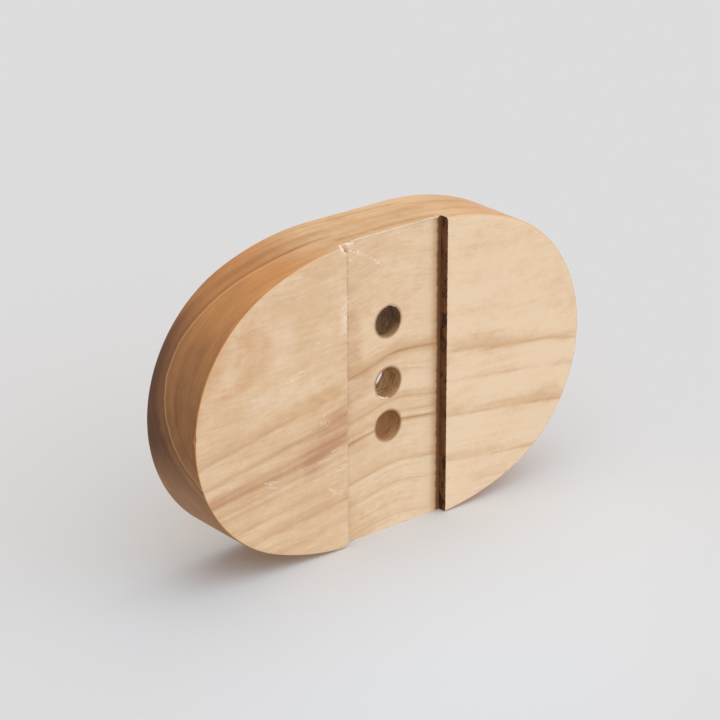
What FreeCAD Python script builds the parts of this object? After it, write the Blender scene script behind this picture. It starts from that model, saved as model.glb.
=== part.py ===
"""Carved wooden soap dish: one block with a bowl on top and a drained channel underneath.

Millimetres. +X runs along the dish, +Y across it and +Z up, out of the bowl.
The origin is on the resting plane, under the middle of the dish.
"""
import FreeCAD, Part
import math
import os
import Sketcher

# Driving sizes, each one a cell of the sheet.
SIZES = {
    # Oval block: a straight middle to each long side, then a flank arc, then the round end,
    # whose radius is half the width less the rise of the flank.
    "dish_length": 126.0,
    "dish_width": 82.0,
    "dish_height": 20.0,
    "flank_radius": 71.8,
    "flank_rise": 2.4,
    "edge_ease": 0.4,
    # Channel across the underside, a little off the middle, between the two resting pads.
    "channel_width": 32.4,
    "channel_offset": 0.6,
    "channel_depth": 2.4,
    # Row of drain holes across the dish, unevenly spaced.
    "drain_bore": 8.0,
    "drain_row_offset": -0.6,
    "drain_middle_offset": 0.1,
    "drain_wide_pitch": 16.6,
    "drain_narrow_pitch": 11.9,
    # Soap bowl inside a rim: a round trough, straight in the middle and swept up at the ends.
    "rim_width": 8.5,
    "bowl_depth": 10.4,
    "bowl_straight": 24.0,
    "lip_round": 1.2,
}

DISH_NODE = "dish_body"

# Numbers of an edge's own points and of a drawing's own axes.
START, END, CENTRE = range(1, 4)
Y_AXIS, X_AXIS = range(-2, 0)
ORIGIN = (X_AXIS, START)
UPWARD = FreeCAD.Vector(0, 0, 1)
HALF_TURN = 180.0


def fill_sheet(doc):
    """Put every driving size in the sheet as a plain number with an alias."""
    sheet = doc.addObject("Spreadsheet::Sheet", "Sizes")
    for row, (alias, value) in enumerate(SIZES.items(), start=1):
        sheet.set(f"A{row}", alias)
        sheet.set(f"B{row}", str(value))
        sheet.setAlias(f"B{row}", alias)
    doc.recompute()
    return sheet


def point(x, y):
    """A point in a sketch's own plane."""
    return FreeCAD.Vector(x, y, 0)


def new_sketch(body, name, plane_role):
    """A sketch on one of the body's own origin planes."""
    sketch = body.newObject("Sketcher::SketchObject", name)
    plane = next(item for item in body.Origin.OriginFeatures if item.Role == plane_role)
    sketch.AttachmentSupport = (plane, [""])
    sketch.MapMode = "FlatFace"
    return sketch


def relate(sketch, *constraint):
    """Add a geometric constraint."""
    sketch.addConstraint(Sketcher.Constraint(*constraint))


def drive(sketch, name, formula, *constraint):
    """Add a named dimension and bind it to the sheet."""
    index = sketch.addConstraint(Sketcher.Constraint(*constraint))
    sketch.renameConstraint(index, name)
    sketch.setExpression(f"Constraints.{name}", formula)


def arc_about(centre, first, last):
    """The anticlockwise arc about a centre, from one point to another."""
    start = math.atan2(first.y - centre.y, first.x - centre.x)
    stop = math.atan2(last.y - centre.y, last.x - centre.x)
    circle = Part.Circle(centre, UPWARD, centre.distanceToPoint(first))
    return Part.ArcOfCircle(circle, start, stop)


def draw_outline(body, sheet):
    """The oval: two straight sides, four flank arcs and two round ends, all tangent."""
    half_width = sheet.dish_width / 2
    end_radius = half_width - sheet.flank_rise
    end_reach = sheet.dish_length / 2 - end_radius

    # The flank arc is tangent to the round end, which sets where the straight side stops.
    flank_reach = sheet.flank_radius - half_width
    centre_gap = sheet.flank_radius - end_radius
    run = math.sqrt(centre_gap**2 - flank_reach**2)
    half_flat = end_reach - run
    join_x = end_reach + run * end_radius / centre_gap
    join_y = flank_reach * end_radius / centre_gap

    near_left, near_right = point(-half_flat, -half_width), point(half_flat, -half_width)
    far_left, far_right = point(-half_flat, half_width), point(half_flat, half_width)
    join_near_left, join_near_right = point(-join_x, -join_y), point(join_x, -join_y)
    join_far_left, join_far_right = point(-join_x, join_y), point(join_x, join_y)

    sketch = new_sketch(body, "Outline", "XY_Plane")
    edges = [sketch.addGeometry(edge) for edge in (
        Part.LineSegment(near_left, near_right),
        arc_about(point(half_flat, flank_reach), near_right, join_near_right),
        arc_about(point(end_reach, 0), join_near_right, join_far_right),
        arc_about(point(half_flat, -flank_reach), join_far_right, far_right),
        Part.LineSegment(far_right, far_left),
        arc_about(point(-half_flat, -flank_reach), far_left, join_far_left),
        arc_about(point(-end_reach, 0), join_far_left, join_near_left),
        arc_about(point(-half_flat, flank_reach), join_near_left, near_left),
    )]
    for edge, following in zip(edges, edges[1:] + edges[:1]):
        relate(sketch, "Tangent", edge, END, following, START)

    near_side, near_flank, right_end, far_flank, far_side, _, left_end, _ = edges
    for side in (near_side, far_side):
        relate(sketch, "Symmetric", side, START, side, END, Y_AXIS)
    for end in (right_end, left_end):
        relate(sketch, "PointOnObject", end, CENTRE, X_AXIS)

    half = "Sizes.dish_width / 2"
    drive(sketch, "near_half_width", half, "DistanceY", near_side, START, *ORIGIN, half_width)
    drive(sketch, "far_half_width", half, "DistanceY", *ORIGIN, far_side, START, half_width)
    for name, flank in (("near_flank", near_flank), ("far_flank", far_flank)):
        drive(sketch, name, "Sizes.flank_radius", "Radius", flank, sheet.flank_radius)
    radius = "Sizes.dish_width / 2 - Sizes.flank_rise"
    for name, end in (("right_radius", right_end), ("left_radius", left_end)):
        drive(sketch, name, radius, "Radius", end, end_radius)
    reach = f"Sizes.dish_length / 2 - ({radius})"
    drive(sketch, "right_reach", reach, "DistanceX", *ORIGIN, right_end, CENTRE, end_reach)
    drive(sketch, "left_reach", reach, "DistanceX", left_end, CENTRE, *ORIGIN, end_reach)
    return sketch


def saw_block(body, outline):
    """The plain oval block, with the edges of its top and underside eased."""
    block = body.newObject("PartDesign::Pad", "Block")
    block.Profile = outline
    block.setExpression("Length", "Sizes.dish_height")
    body.Document.recompute()

    heights = [face.CenterOfMass.z for face in block.Shape.Faces]
    top, underside = heights.index(max(heights)), heights.index(min(heights))
    eased = body.newObject("PartDesign::Fillet", "EasedEdges")
    eased.Base = (block, [f"Face{index + 1}" for index in (top, underside)])
    eased.setExpression("Radius", "Sizes.edge_ease")
    body.Document.recompute()


def plane_channel(body, sheet):
    """The channel across the underside, which leaves a resting pad at each end."""
    half = sheet.channel_width / 2
    left, right = sheet.channel_offset - half, sheet.channel_offset + half
    beyond = sheet.dish_width / 2 + sheet.channel_depth

    sketch = new_sketch(body, "ChannelPlan", "XY_Plane")
    corners = [point(left, -beyond), point(right, -beyond), point(right, beyond), point(left, beyond)]
    pairs = zip(corners, corners[1:] + corners[:1])
    edges = [sketch.addGeometry(Part.LineSegment(*pair)) for pair in pairs]
    for edge, following in zip(edges, edges[1:] + edges[:1]):
        relate(sketch, "Coincident", edge, END, following, START)
    near_end, right_wall, far_end, left_wall = edges
    for end in (near_end, far_end):
        relate(sketch, "Horizontal", end)
    for wall in (right_wall, left_wall):
        relate(sketch, "Vertical", wall)
    width = "Sizes.channel_width"
    drive(sketch, "width", width, "DistanceX", near_end, START, near_end, END, sheet.channel_width)
    right_wall_place = "Sizes.channel_offset + Sizes.channel_width / 2"
    drive(sketch, "right_wall", right_wall_place, "DistanceX", *ORIGIN, near_end, END, right)
    past_side = "Sizes.dish_width / 2 + Sizes.channel_depth"
    drive(sketch, "near_end", past_side, "DistanceY", near_end, START, *ORIGIN, beyond)
    drive(sketch, "far_end", past_side, "DistanceY", *ORIGIN, far_end, START, beyond)

    channel = body.newObject("PartDesign::Pocket", "Channel")
    channel.Profile = sketch
    channel.Reversed = True
    channel.setExpression("Length", "Sizes.channel_depth")
    body.Document.recompute()


def hollow_bowl(body, sheet):
    """The soap bowl: a round trough with a straight middle and ends that sweep up to the rim."""
    top, depth = sheet.dish_height, sheet.bowl_depth
    half_straight = sheet.bowl_straight / 2
    sweep_length = sheet.dish_length / 2 - sheet.rim_width - half_straight
    half_width = sheet.dish_width / 2 - sheet.rim_width

    # An arc through the edge of the mouth that is level at the deepest point, both ways.
    sweep_radius = (sweep_length**2 + depth**2) / (2 * depth)
    cross_radius = (half_width**2 + depth**2) / (2 * depth)
    floor = top - depth
    sweep_centre = floor + sweep_radius
    axis_height = floor + cross_radius
    above_rim = top + sheet.lip_round
    half_cut = half_straight + math.sqrt(sweep_radius**2 - (sweep_centre - above_rim)**2)

    sketch = new_sketch(body, "BowlSection", "XZ_Plane")
    left_rim, right_rim = point(-half_cut, above_rim), point(half_cut, above_rim)
    left_floor, right_floor = point(-half_straight, floor), point(half_straight, floor)
    left_axis, right_axis = point(-half_cut, axis_height), point(half_cut, axis_height)
    edges = [sketch.addGeometry(edge) for edge in (
        arc_about(point(-half_straight, sweep_centre), left_rim, left_floor),
        Part.LineSegment(left_floor, right_floor),
        arc_about(point(half_straight, sweep_centre), right_floor, right_rim),
        Part.LineSegment(right_rim, right_axis),
        Part.LineSegment(right_axis, left_axis),
        Part.LineSegment(left_axis, left_rim),
    )]
    left_sweep, floor_line, right_sweep, right_cut, axis, left_cut = edges
    for edge, following in ((left_sweep, floor_line), (floor_line, right_sweep)):
        relate(sketch, "Tangent", edge, END, following, START)
    corners = ((right_sweep, right_cut), (right_cut, axis), (axis, left_cut), (left_cut, left_sweep))
    for edge, following in corners:
        relate(sketch, "Coincident", edge, END, following, START)
    for cut in (right_cut, left_cut):
        relate(sketch, "Vertical", cut)
    relate(sketch, "Horizontal", axis)
    relate(sketch, "Symmetric", floor_line, START, floor_line, END, Y_AXIS)

    mouth_sweep = "(Sizes.dish_length / 2 - Sizes.rim_width - Sizes.bowl_straight / 2)"
    mouth_half_width = "(Sizes.dish_width / 2 - Sizes.rim_width)"
    sweep_formula = f"({mouth_sweep}^2 + Sizes.bowl_depth^2) / (2 * Sizes.bowl_depth)"
    cross_formula = f"({mouth_half_width}^2 + Sizes.bowl_depth^2) / (2 * Sizes.bowl_depth)"
    floor_formula = "Sizes.dish_height - Sizes.bowl_depth"
    rim_formula = "Sizes.dish_height + Sizes.lip_round"
    drive(sketch, "floor_length", "Sizes.bowl_straight",
          "DistanceX", floor_line, START, floor_line, END, 2 * half_straight)
    drive(sketch, "floor_height", floor_formula, "DistanceY", *ORIGIN, floor_line, START, floor)
    drive(sketch, "left_radius", sweep_formula, "Radius", left_sweep, sweep_radius)
    drive(sketch, "right_radius", sweep_formula, "Radius", right_sweep, sweep_radius)
    drive(sketch, "left_rim", rim_formula, "DistanceY", *ORIGIN, left_sweep, START, above_rim)
    drive(sketch, "right_rim", rim_formula, "DistanceY", *ORIGIN, right_sweep, END, above_rim)
    drive(sketch, "axis_height", f"{floor_formula} + {cross_formula}",
          "DistanceY", *ORIGIN, axis, START, axis_height)

    bowl = body.newObject("PartDesign::Groove", "Bowl")
    bowl.Profile = sketch
    bowl.ReferenceAxis = (sketch, [f"Edge{axis + 1}"])
    bowl.Midplane = True
    bowl.Angle = HALF_TURN
    body.Document.recompute()

    lip = body.newObject("PartDesign::Fillet", "Lip")
    lip.Base = (bowl, mouth_edges(bowl.Shape))
    lip.setExpression("Radius", "Sizes.lip_round")
    body.Document.recompute()


def mouth_edges(shape):
    """The names of the edges where the bowl opens through the level rim on top."""
    rim = max(shape.Faces, key=lambda face: face.CenterOfMass.z)
    mouth = [edge for wire in rim.Wires if not wire.isSame(rim.OuterWire) for edge in wire.Edges]
    numbered = enumerate(shape.Edges, start=1)
    return [f"Edge{number}" for number, edge in numbered if any(edge.isSame(part) for part in mouth)]


def drill_drains(body, sheet):
    """The drain holes, from the channel up into the bowl."""
    row_x, middle_y = sheet.drain_row_offset, sheet.drain_middle_offset
    places = {
        "near": (middle_y - sheet.drain_wide_pitch, "Sizes.drain_middle_offset - Sizes.drain_wide_pitch"),
        "middle": (middle_y, "Sizes.drain_middle_offset"),
        "far": (middle_y + sheet.drain_narrow_pitch, "Sizes.drain_middle_offset + Sizes.drain_narrow_pitch"),
    }
    sketch = new_sketch(body, "DrainPlan", "XY_Plane")
    for name, (y, y_formula) in places.items():
        hole = sketch.addGeometry(Part.Circle(point(row_x, y), UPWARD, sheet.drain_bore / 2))
        drive(sketch, f"{name}_bore", "Sizes.drain_bore", "Diameter", hole, sheet.drain_bore)
        drive(sketch, f"{name}_x", "Sizes.drain_row_offset", "DistanceX", *ORIGIN, hole, CENTRE, row_x)
        drive(sketch, f"{name}_y", y_formula, "DistanceY", *ORIGIN, hole, CENTRE, y)

    drains = body.newObject("PartDesign::Pocket", "Drains")
    drains.Profile = sketch
    drains.Type = "ThroughAll"
    drains.Reversed = True
    body.Document.recompute()


def check_cuts(body):
    """Stop if a cut removed nothing."""
    cuts = [item for item in body.Group if item.isDerivedFrom("PartDesign::Feature")]
    for before, after in zip(cuts, cuts[1:]):
        if not after.Shape.Volume < before.Shape.Volume:
            raise RuntimeError(f"{after.Name} removed no wood")


def check_document(doc, parts):
    """Stop if any object failed to build, or a sub-part isn't one sound solid."""
    for item in doc.Objects:
        if {"Invalid", "Error"} & set(item.State):
            raise RuntimeError(f"{item.Name} failed: {item.State}")
        if item.isDerivedFrom("Sketcher::SketchObject") and not item.FullyConstrained:
            raise RuntimeError(f"{item.Name} isn't fully constrained")
    for item in parts:
        if item.Shape.isNull() or not item.Shape.isValid() or len(item.Shape.Solids) != 1:
            raise RuntimeError(f"{item.Label} isn't one sound solid")


def make_dish(doc, sheet):
    """The dish, cut in the order in which a maker would cut it."""
    body = doc.addObject("PartDesign::Body", "Dish")
    body.Label = DISH_NODE
    body.Placement = FreeCAD.Placement()
    saw_block(body, draw_outline(body, sheet))
    plane_channel(body, sheet)
    hollow_bowl(body, sheet)
    drill_drains(body, sheet)
    doc.recompute()
    check_cuts(body)
    return body


def main():
    doc = FreeCAD.newDocument("SoapDish")
    sheet = fill_sheet(doc)
    parts = [make_dish(doc, sheet)]
    check_document(doc, parts)
    os.makedirs("parts", exist_ok=True)
    for item in parts:
        item.Shape.exportStep(f"parts/{item.Label}.step")
        box = item.Shape.optimalBoundingBox()
        print(f"{item.Label}: {item.Shape.Volume:.1f} mm3,"
              f" {box.XLength:.2f} x {box.YLength:.2f} x {box.ZLength:.2f} mm")


main()
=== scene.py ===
"""Looks of the wooden soap dish: carved block, growth rings, tool marks, stage, light and camera."""
import math
import random

import bmesh
import bpy
from mathutils import Matrix, Vector, noise
from mathutils.geometry import delaunay_2d_cdt


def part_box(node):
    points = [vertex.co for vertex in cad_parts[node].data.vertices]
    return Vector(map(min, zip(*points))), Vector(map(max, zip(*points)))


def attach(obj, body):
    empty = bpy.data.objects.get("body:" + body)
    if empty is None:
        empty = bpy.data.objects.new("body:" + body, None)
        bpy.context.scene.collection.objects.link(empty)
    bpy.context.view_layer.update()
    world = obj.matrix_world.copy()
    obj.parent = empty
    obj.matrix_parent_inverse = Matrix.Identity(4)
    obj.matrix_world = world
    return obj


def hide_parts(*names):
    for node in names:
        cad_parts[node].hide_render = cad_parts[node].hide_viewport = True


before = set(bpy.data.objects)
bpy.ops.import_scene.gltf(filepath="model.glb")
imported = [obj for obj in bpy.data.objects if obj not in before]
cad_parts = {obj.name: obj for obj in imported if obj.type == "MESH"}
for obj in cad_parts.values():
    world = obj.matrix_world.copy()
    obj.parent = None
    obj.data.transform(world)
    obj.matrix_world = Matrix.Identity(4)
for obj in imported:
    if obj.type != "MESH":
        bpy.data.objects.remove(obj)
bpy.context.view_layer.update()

MM = 0.001

# Sizes of the dish in millimetres. The block's own three come from the frame.
block_low, block_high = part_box("dish_body")
DISH_LENGTH = (block_high.x - block_low.x) / MM
DISH_WIDTH = (block_high.y - block_low.y) / MM
DISH_HEIGHT = (block_high.z - block_low.z) / MM
HALF_WIDTH = DISH_WIDTH / 2
FLANK_RADIUS = 71.8
FLANK_RISE = 2.4
EDGE_EASE = 0.4
CHANNEL_WIDTH = 32.4
CHANNEL_OFFSET = 0.6
CHANNEL_DEPTH = 2.4
DRAIN_RADIUS = 4.0
DRAIN_ROW = -0.6
DRAIN_MIDDLE = 0.1
DRAIN_WIDE_PITCH = 16.6
DRAIN_NARROW_PITCH = 11.9
RIM_WIDTH = 8.5
BOWL_DEPTH = 10.4
BOWL_STRAIGHT = 12.0
LIP_SOFTNESS = 0.25

# Arcs of the outline, worked out from the sizes above.
END_RADIUS = HALF_WIDTH - FLANK_RISE
END_CENTRE = DISH_LENGTH / 2 - END_RADIUS
FLANK_DROP = HALF_WIDTH - FLANK_RADIUS
CENTRE_GAP = FLANK_RADIUS - END_RADIUS
FLANK_START = END_CENTRE - math.sqrt(CENTRE_GAP ** 2 - FLANK_DROP ** 2)
JOIN_X = FLANK_START + (END_CENTRE - FLANK_START) * FLANK_RADIUS / CENTRE_GAP
JOIN_ANGLE = math.atan2(-FLANK_DROP, END_CENTRE - FLANK_START)
CHANNEL_LEFT = CHANNEL_OFFSET - CHANNEL_WIDTH / 2
CHANNEL_RIGHT = CHANNEL_OFFSET + CHANNEL_WIDTH / 2
DRAINS = (
    (DRAIN_ROW, DRAIN_MIDDLE - DRAIN_WIDE_PITCH),
    (DRAIN_ROW, DRAIN_MIDDLE),
    (DRAIN_ROW, DRAIN_MIDDLE + DRAIN_NARROW_PITCH),
)

# The bowl: a level gutter in the middle, swept up at both ends.
BOWL_FLOOR = DISH_HEIGHT - BOWL_DEPTH
MOUTH_HALF_WIDTH = HALF_WIDTH - RIM_WIDTH
MOUTH_REACH = DISH_LENGTH / 2 - RIM_WIDTH - BOWL_STRAIGHT
CROSS_RADIUS = (MOUTH_HALF_WIDTH ** 2 + BOWL_DEPTH ** 2) / (2 * BOWL_DEPTH)
SWEEP_RADIUS = (MOUTH_REACH ** 2 + BOWL_DEPTH ** 2) / (2 * BOWL_DEPTH)
CROSS_AXIS = BOWL_FLOOR + CROSS_RADIUS
SWEEP_AXIS = BOWL_FLOOR + SWEEP_RADIUS

# Finishes, in the order of the dish's material slots.
FACE, CHANNEL, WALL, BORE, EDGE, BOWL, TORN = range(7)

# Wear and tool marks, in millimetres.
WORN_EDGE = 0.25
WORN_ROWS = 3
WALL_ROUGH = 0.05
DRILL_PITCH = 0.85
DRILL_RIDGE = 0.03
BORE_RAGGED = 0.12
BREAK_ROUGH = 0.12
BREAK_LEAST = 0.03

# How finely the mesh is divided, in millimetres and counts, and from which angle an edge is sharp.
EDGE_STEP = 0.6
FACE_STEP = 1.1
WALL_STEP = 0.5
UPPER_WALL_STEP = 1.2
EASE_STEPS = 4
BORE_STEPS = 72
BORE_ROWS = 40
COLLARS = (0.4, 0.85, 1.4)
COLLAR_TURN = 0.14
COLLAR_ROOM = 2.0
LIP_RISES = (0.3, 0.2, 0.1, 0.0, -0.1, -0.2, -0.3)
LIP_STEP = 0.8
LIP_ROOM = 0.6
SHARP_ANGLE = 32

# Broken and worn places: where each is, which way it faces, its depth, its reach, and if it is torn.
BROKEN = [
    ((CHANNEL_LEFT, -HALF_WIDTH, 0.0), (0.50, -0.62, -0.60), 1.7, 5.5, True),
    ((CHANNEL_LEFT + 2.0, -HALF_WIDTH, CHANNEL_DEPTH), (0.05, -0.72, -0.69), 0.8, 3.6, True),
    ((CHANNEL_LEFT + 5.5, -HALF_WIDTH, CHANNEL_DEPTH), (0.0, -0.72, -0.69), 0.4, 2.2, True),
    ((CHANNEL_LEFT, HALF_WIDTH, 0.0), (0.45, 0.75, -0.48), 0.8, 4.0, True),
    ((-62.8, -2.5, 0.0), (-0.70, 0.0, -0.71), 0.5, 1.2, False),
]
# Torn lips of the drains: which drain, the direction in degrees, depth and reach.
TORN_LIPS = (
    (0, 115, 0.22, 1.6), (0, -70, 0.38, 1.7),
    (1, 112, 0.4, 2.0),
    (2, 105, 0.2, 1.6), (2, -140, 0.25, 1.0),
)
for drain, degrees, depth, reach in TORN_LIPS:
    turn = math.radians(degrees)
    lip = Vector((math.cos(turn), math.sin(turn), 0.0))
    middle = Vector((*DRAINS[drain], CHANNEL_DEPTH))
    BROKEN.append((middle + lip * DRAIN_RADIUS, lip * -0.6 + Vector((0, 0, -0.8)), depth, reach, True))


def flutter(x, y, z, size):
    """A steady small unevenness between -1 and 1, the same at the same place."""
    return noise.noise(Vector((x, y, z)) / size)


def side_point(x, side):
    """Point and outward direction on the near (-1) or far (1) long side."""
    reach = max(0.0, abs(x) - FLANK_START)
    rise = math.sqrt(FLANK_RADIUS ** 2 - reach ** 2)
    lean = math.copysign(reach / FLANK_RADIUS, x)
    return (x, side * (FLANK_DROP + rise), lean, side * rise / FLANK_RADIUS)


def end_point(angle, side):
    """Point and outward direction on the left (-1) or right (1) round end."""
    along, across = math.cos(angle), math.sin(angle)
    x = side * (END_CENTRE + END_RADIUS * along)
    return (x, END_RADIUS * across, side * along, across)


def spaced(start, stop, step):
    """Evenly spaced values from start up to, but without, stop."""
    count = max(1, math.ceil(abs(stop - start) / step))
    return [start + (stop - start) * i / count for i in range(count)]


def outline_columns():
    """Columns round the dish, anticlockwise from above, and the four at the channel's corners."""
    columns, corners = [], []
    end_step = EDGE_STEP / END_RADIUS
    stops = (-JOIN_X, CHANNEL_LEFT, CHANNEL_RIGHT, JOIN_X)
    for side in (-1, 1):
        turn = stops if side < 0 else stops[::-1]
        for run, (start, stop) in enumerate(zip(turn, turn[1:])):
            if run:
                corners.append(len(columns))
            columns += [side_point(x, side) for x in spaced(start, stop, EDGE_STEP)]
        first = side * JOIN_ANGLE
        for angle in spaced(first, -first, end_step):
            columns.append(end_point(angle, -side))
    return columns, corners


def edge_room(x, y):
    """Distance from a point of the face in to the outline."""
    x, y = abs(x), abs(y)
    if math.atan2(y, x - END_CENTRE) < JOIN_ANGLE:
        return END_RADIUS - math.hypot(x - END_CENTRE, y)
    reach = max(0.0, x - FLANK_START)
    return FLANK_RADIUS - math.hypot(reach, y - FLANK_DROP)


def bowl_height(x, y):
    """Height of the hollow's own surface, also beyond its mouth."""
    reach = max(0.0, abs(x) - BOWL_STRAIGHT)
    floor = SWEEP_AXIS - math.sqrt(max(0.0, SWEEP_RADIUS ** 2 - reach ** 2))
    return CROSS_AXIS - math.sqrt(max(0.0, (CROSS_AXIS - floor) ** 2 - y ** 2))


def top_height(x, y):
    """Height of the top: the flat rim, run softly over the lip into the bowl."""
    hollow = bowl_height(x, y)
    share = min(1.0, max(0.0, 0.5 + (DISH_HEIGHT - hollow) / (2 * LIP_SOFTNESS)))
    level = DISH_HEIGHT + (hollow - DISH_HEIGHT) * share
    return level - LIP_SOFTNESS * share * (1 - share)


def contour(level, step):
    """Points of the bowl's surface at one height, right round."""
    points = []
    half = math.sqrt(CROSS_RADIUS ** 2 - (CROSS_AXIS - level) ** 2)
    reach = math.sqrt(SWEEP_RADIUS ** 2 - (SWEEP_AXIS - level) ** 2)
    count = math.ceil(1.4 * reach / step)
    for side in (-1, 1):
        points += [(side * x, side * half) for x in spaced(-BOWL_STRAIGHT, BOWL_STRAIGHT, step)]
        for i in range(count):
            along = reach * math.sin(math.pi / 2 * i / count)
            floor = SWEEP_AXIS - math.sqrt(SWEEP_RADIUS ** 2 - along ** 2)
            across = math.sqrt(max(0.0, (CROSS_AXIS - floor) ** 2 - (CROSS_AXIS - level) ** 2))
            points.append((side * (BOWL_STRAIGHT + along), side * across))
            if i:
                points.append((side * (BOWL_STRAIGHT + along), -side * across))
        points.append((side * (BOWL_STRAIGHT + reach), 0.0))
    return points


def even_points(low, high, step, keep):
    """Staggered points over a rectangle, where keep says so."""
    points = []
    row_step = step * math.sqrt(3) / 2
    rows = math.ceil((high[1] - low[1]) / row_step)
    for row in range(rows + 1):
        y = low[1] + row * row_step
        start = low[0] + (row % 2) * step / 2
        points += [(x, y) for x in spaced(start, high[0], step) if keep(x, y)]
    return points


def put_in_scene(name, data):
    """A new object of that name in the scene."""
    made = bpy.data.objects.new(name, data)
    bpy.context.scene.collection.objects.link(made)
    return made


class Carving:
    """The dish's mesh while it is made: points in millimetres, and faces with their finish."""

    def __init__(self):
        self.points = []
        self.faces = []
        self.finishes = []

    def point(self, x, y, z):
        self.points.append((x, y, z))
        return len(self.points) - 1

    def face(self, corners, finish):
        if None not in corners:
            self.faces.append(corners)
            self.finishes.append(finish)

    def strip(self, first, second, finish):
        """Quads between two columns of points."""
        for row in range(len(first) - 1):
            self.face((first[row], second[row], second[row + 1], first[row + 1]), finish)

    def fill(self, loops, inner, height, finish):
        """Triangles over a flat region inside the first loop and outside the other, round ones."""
        holes = [set(loop) for loop in loops[1:]]
        known, ties = [], []
        for loop in loops:
            start = len(known)
            known += loop
            ties += [(start + i, start + (i + 1) % len(loop)) for i in range(len(loop))]
        flat = [Vector(self.points[i][:2]) for i in known] + [Vector(p) for p in inner]
        result = delaunay_2d_cdt(flat, ties, [], 1, 1e-7)
        places, triangles, sources = result[0], result[2], result[3]
        numbers = []
        for place, source in zip(places, sources):
            old = [i for i in source if i < len(known)]
            if old:
                numbers.append(known[old[0]])
            else:
                numbers.append(self.point(place.x, place.y, height(place.x, place.y)))
        for corners in triangles:
            triangle = [numbers[i] for i in corners]
            if not any(hole.issuperset(triangle) for hole in holes):
                self.face(triangle, finish)

    def break_away(self):
        """Cuts the broken places back into the wood and leaves torn faces there."""
        moved = set()
        for place, facing, depth, reach, torn in BROKEN:
            place, facing = Vector(place), Vector(facing).normalized()
            for number, spot in enumerate(self.points):
                spot = Vector(spot)
                away = (spot - place).length
                if away > reach:
                    continue
                rough = BREAK_ROUGH * flutter(*spot, 0.45)
                over = facing.dot(spot - place) + depth * (1 - (away / reach) ** 2) + rough
                if over > BREAK_LEAST:
                    self.points[number] = tuple(spot - facing * over)
                    if torn:
                        moved.add(number)
        for number, corners in enumerate(self.faces):
            if moved.issuperset(corners):
                self.finishes[number] = TORN

    def make(self, name):
        """The finished object, smooth but for its sharp edges."""
        mesh = bpy.data.meshes.new(name)
        mesh.from_pydata([tuple(c * MM for c in p) for p in self.points], [], self.faces)
        mesh.polygons.foreach_set("material_index", self.finishes)
        shape = bmesh.new()
        shape.from_mesh(mesh)
        bmesh.ops.recalc_face_normals(shape, faces=shape.faces)
        shape.to_mesh(mesh)
        shape.free()
        mesh.polygons.foreach_set("use_smooth", [True] * len(mesh.polygons))
        mesh.set_sharp_from_angle(angle=math.radians(SHARP_ANGLE))
        return put_in_scene(name, mesh)


def wall_profile():
    """Rows of the outer wall from the underside up, as (inset, height), and the channel floor's row."""
    turns = [math.pi / 2 * i / EASE_STEPS for i in range(EASE_STEPS + 1)]
    eased = [(EDGE_EASE * (1 - math.sin(t)), EDGE_EASE * (1 - math.cos(t))) for t in turns]
    rows = eased + [(0.0, z) for z in spaced(EDGE_EASE, CHANNEL_DEPTH, WALL_STEP)[1:]]
    floor_row = len(rows)
    top = DISH_HEIGHT - EDGE_EASE
    rows += [(0.0, z) for z in spaced(CHANNEL_DEPTH, top, UPPER_WALL_STEP)]
    rows += [(inset, DISH_HEIGHT - z) for inset, z in reversed(eased)]
    return rows, floor_row


def row_of(columns, row):
    """One row of points along several columns."""
    return [column[row] for column in columns]


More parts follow.
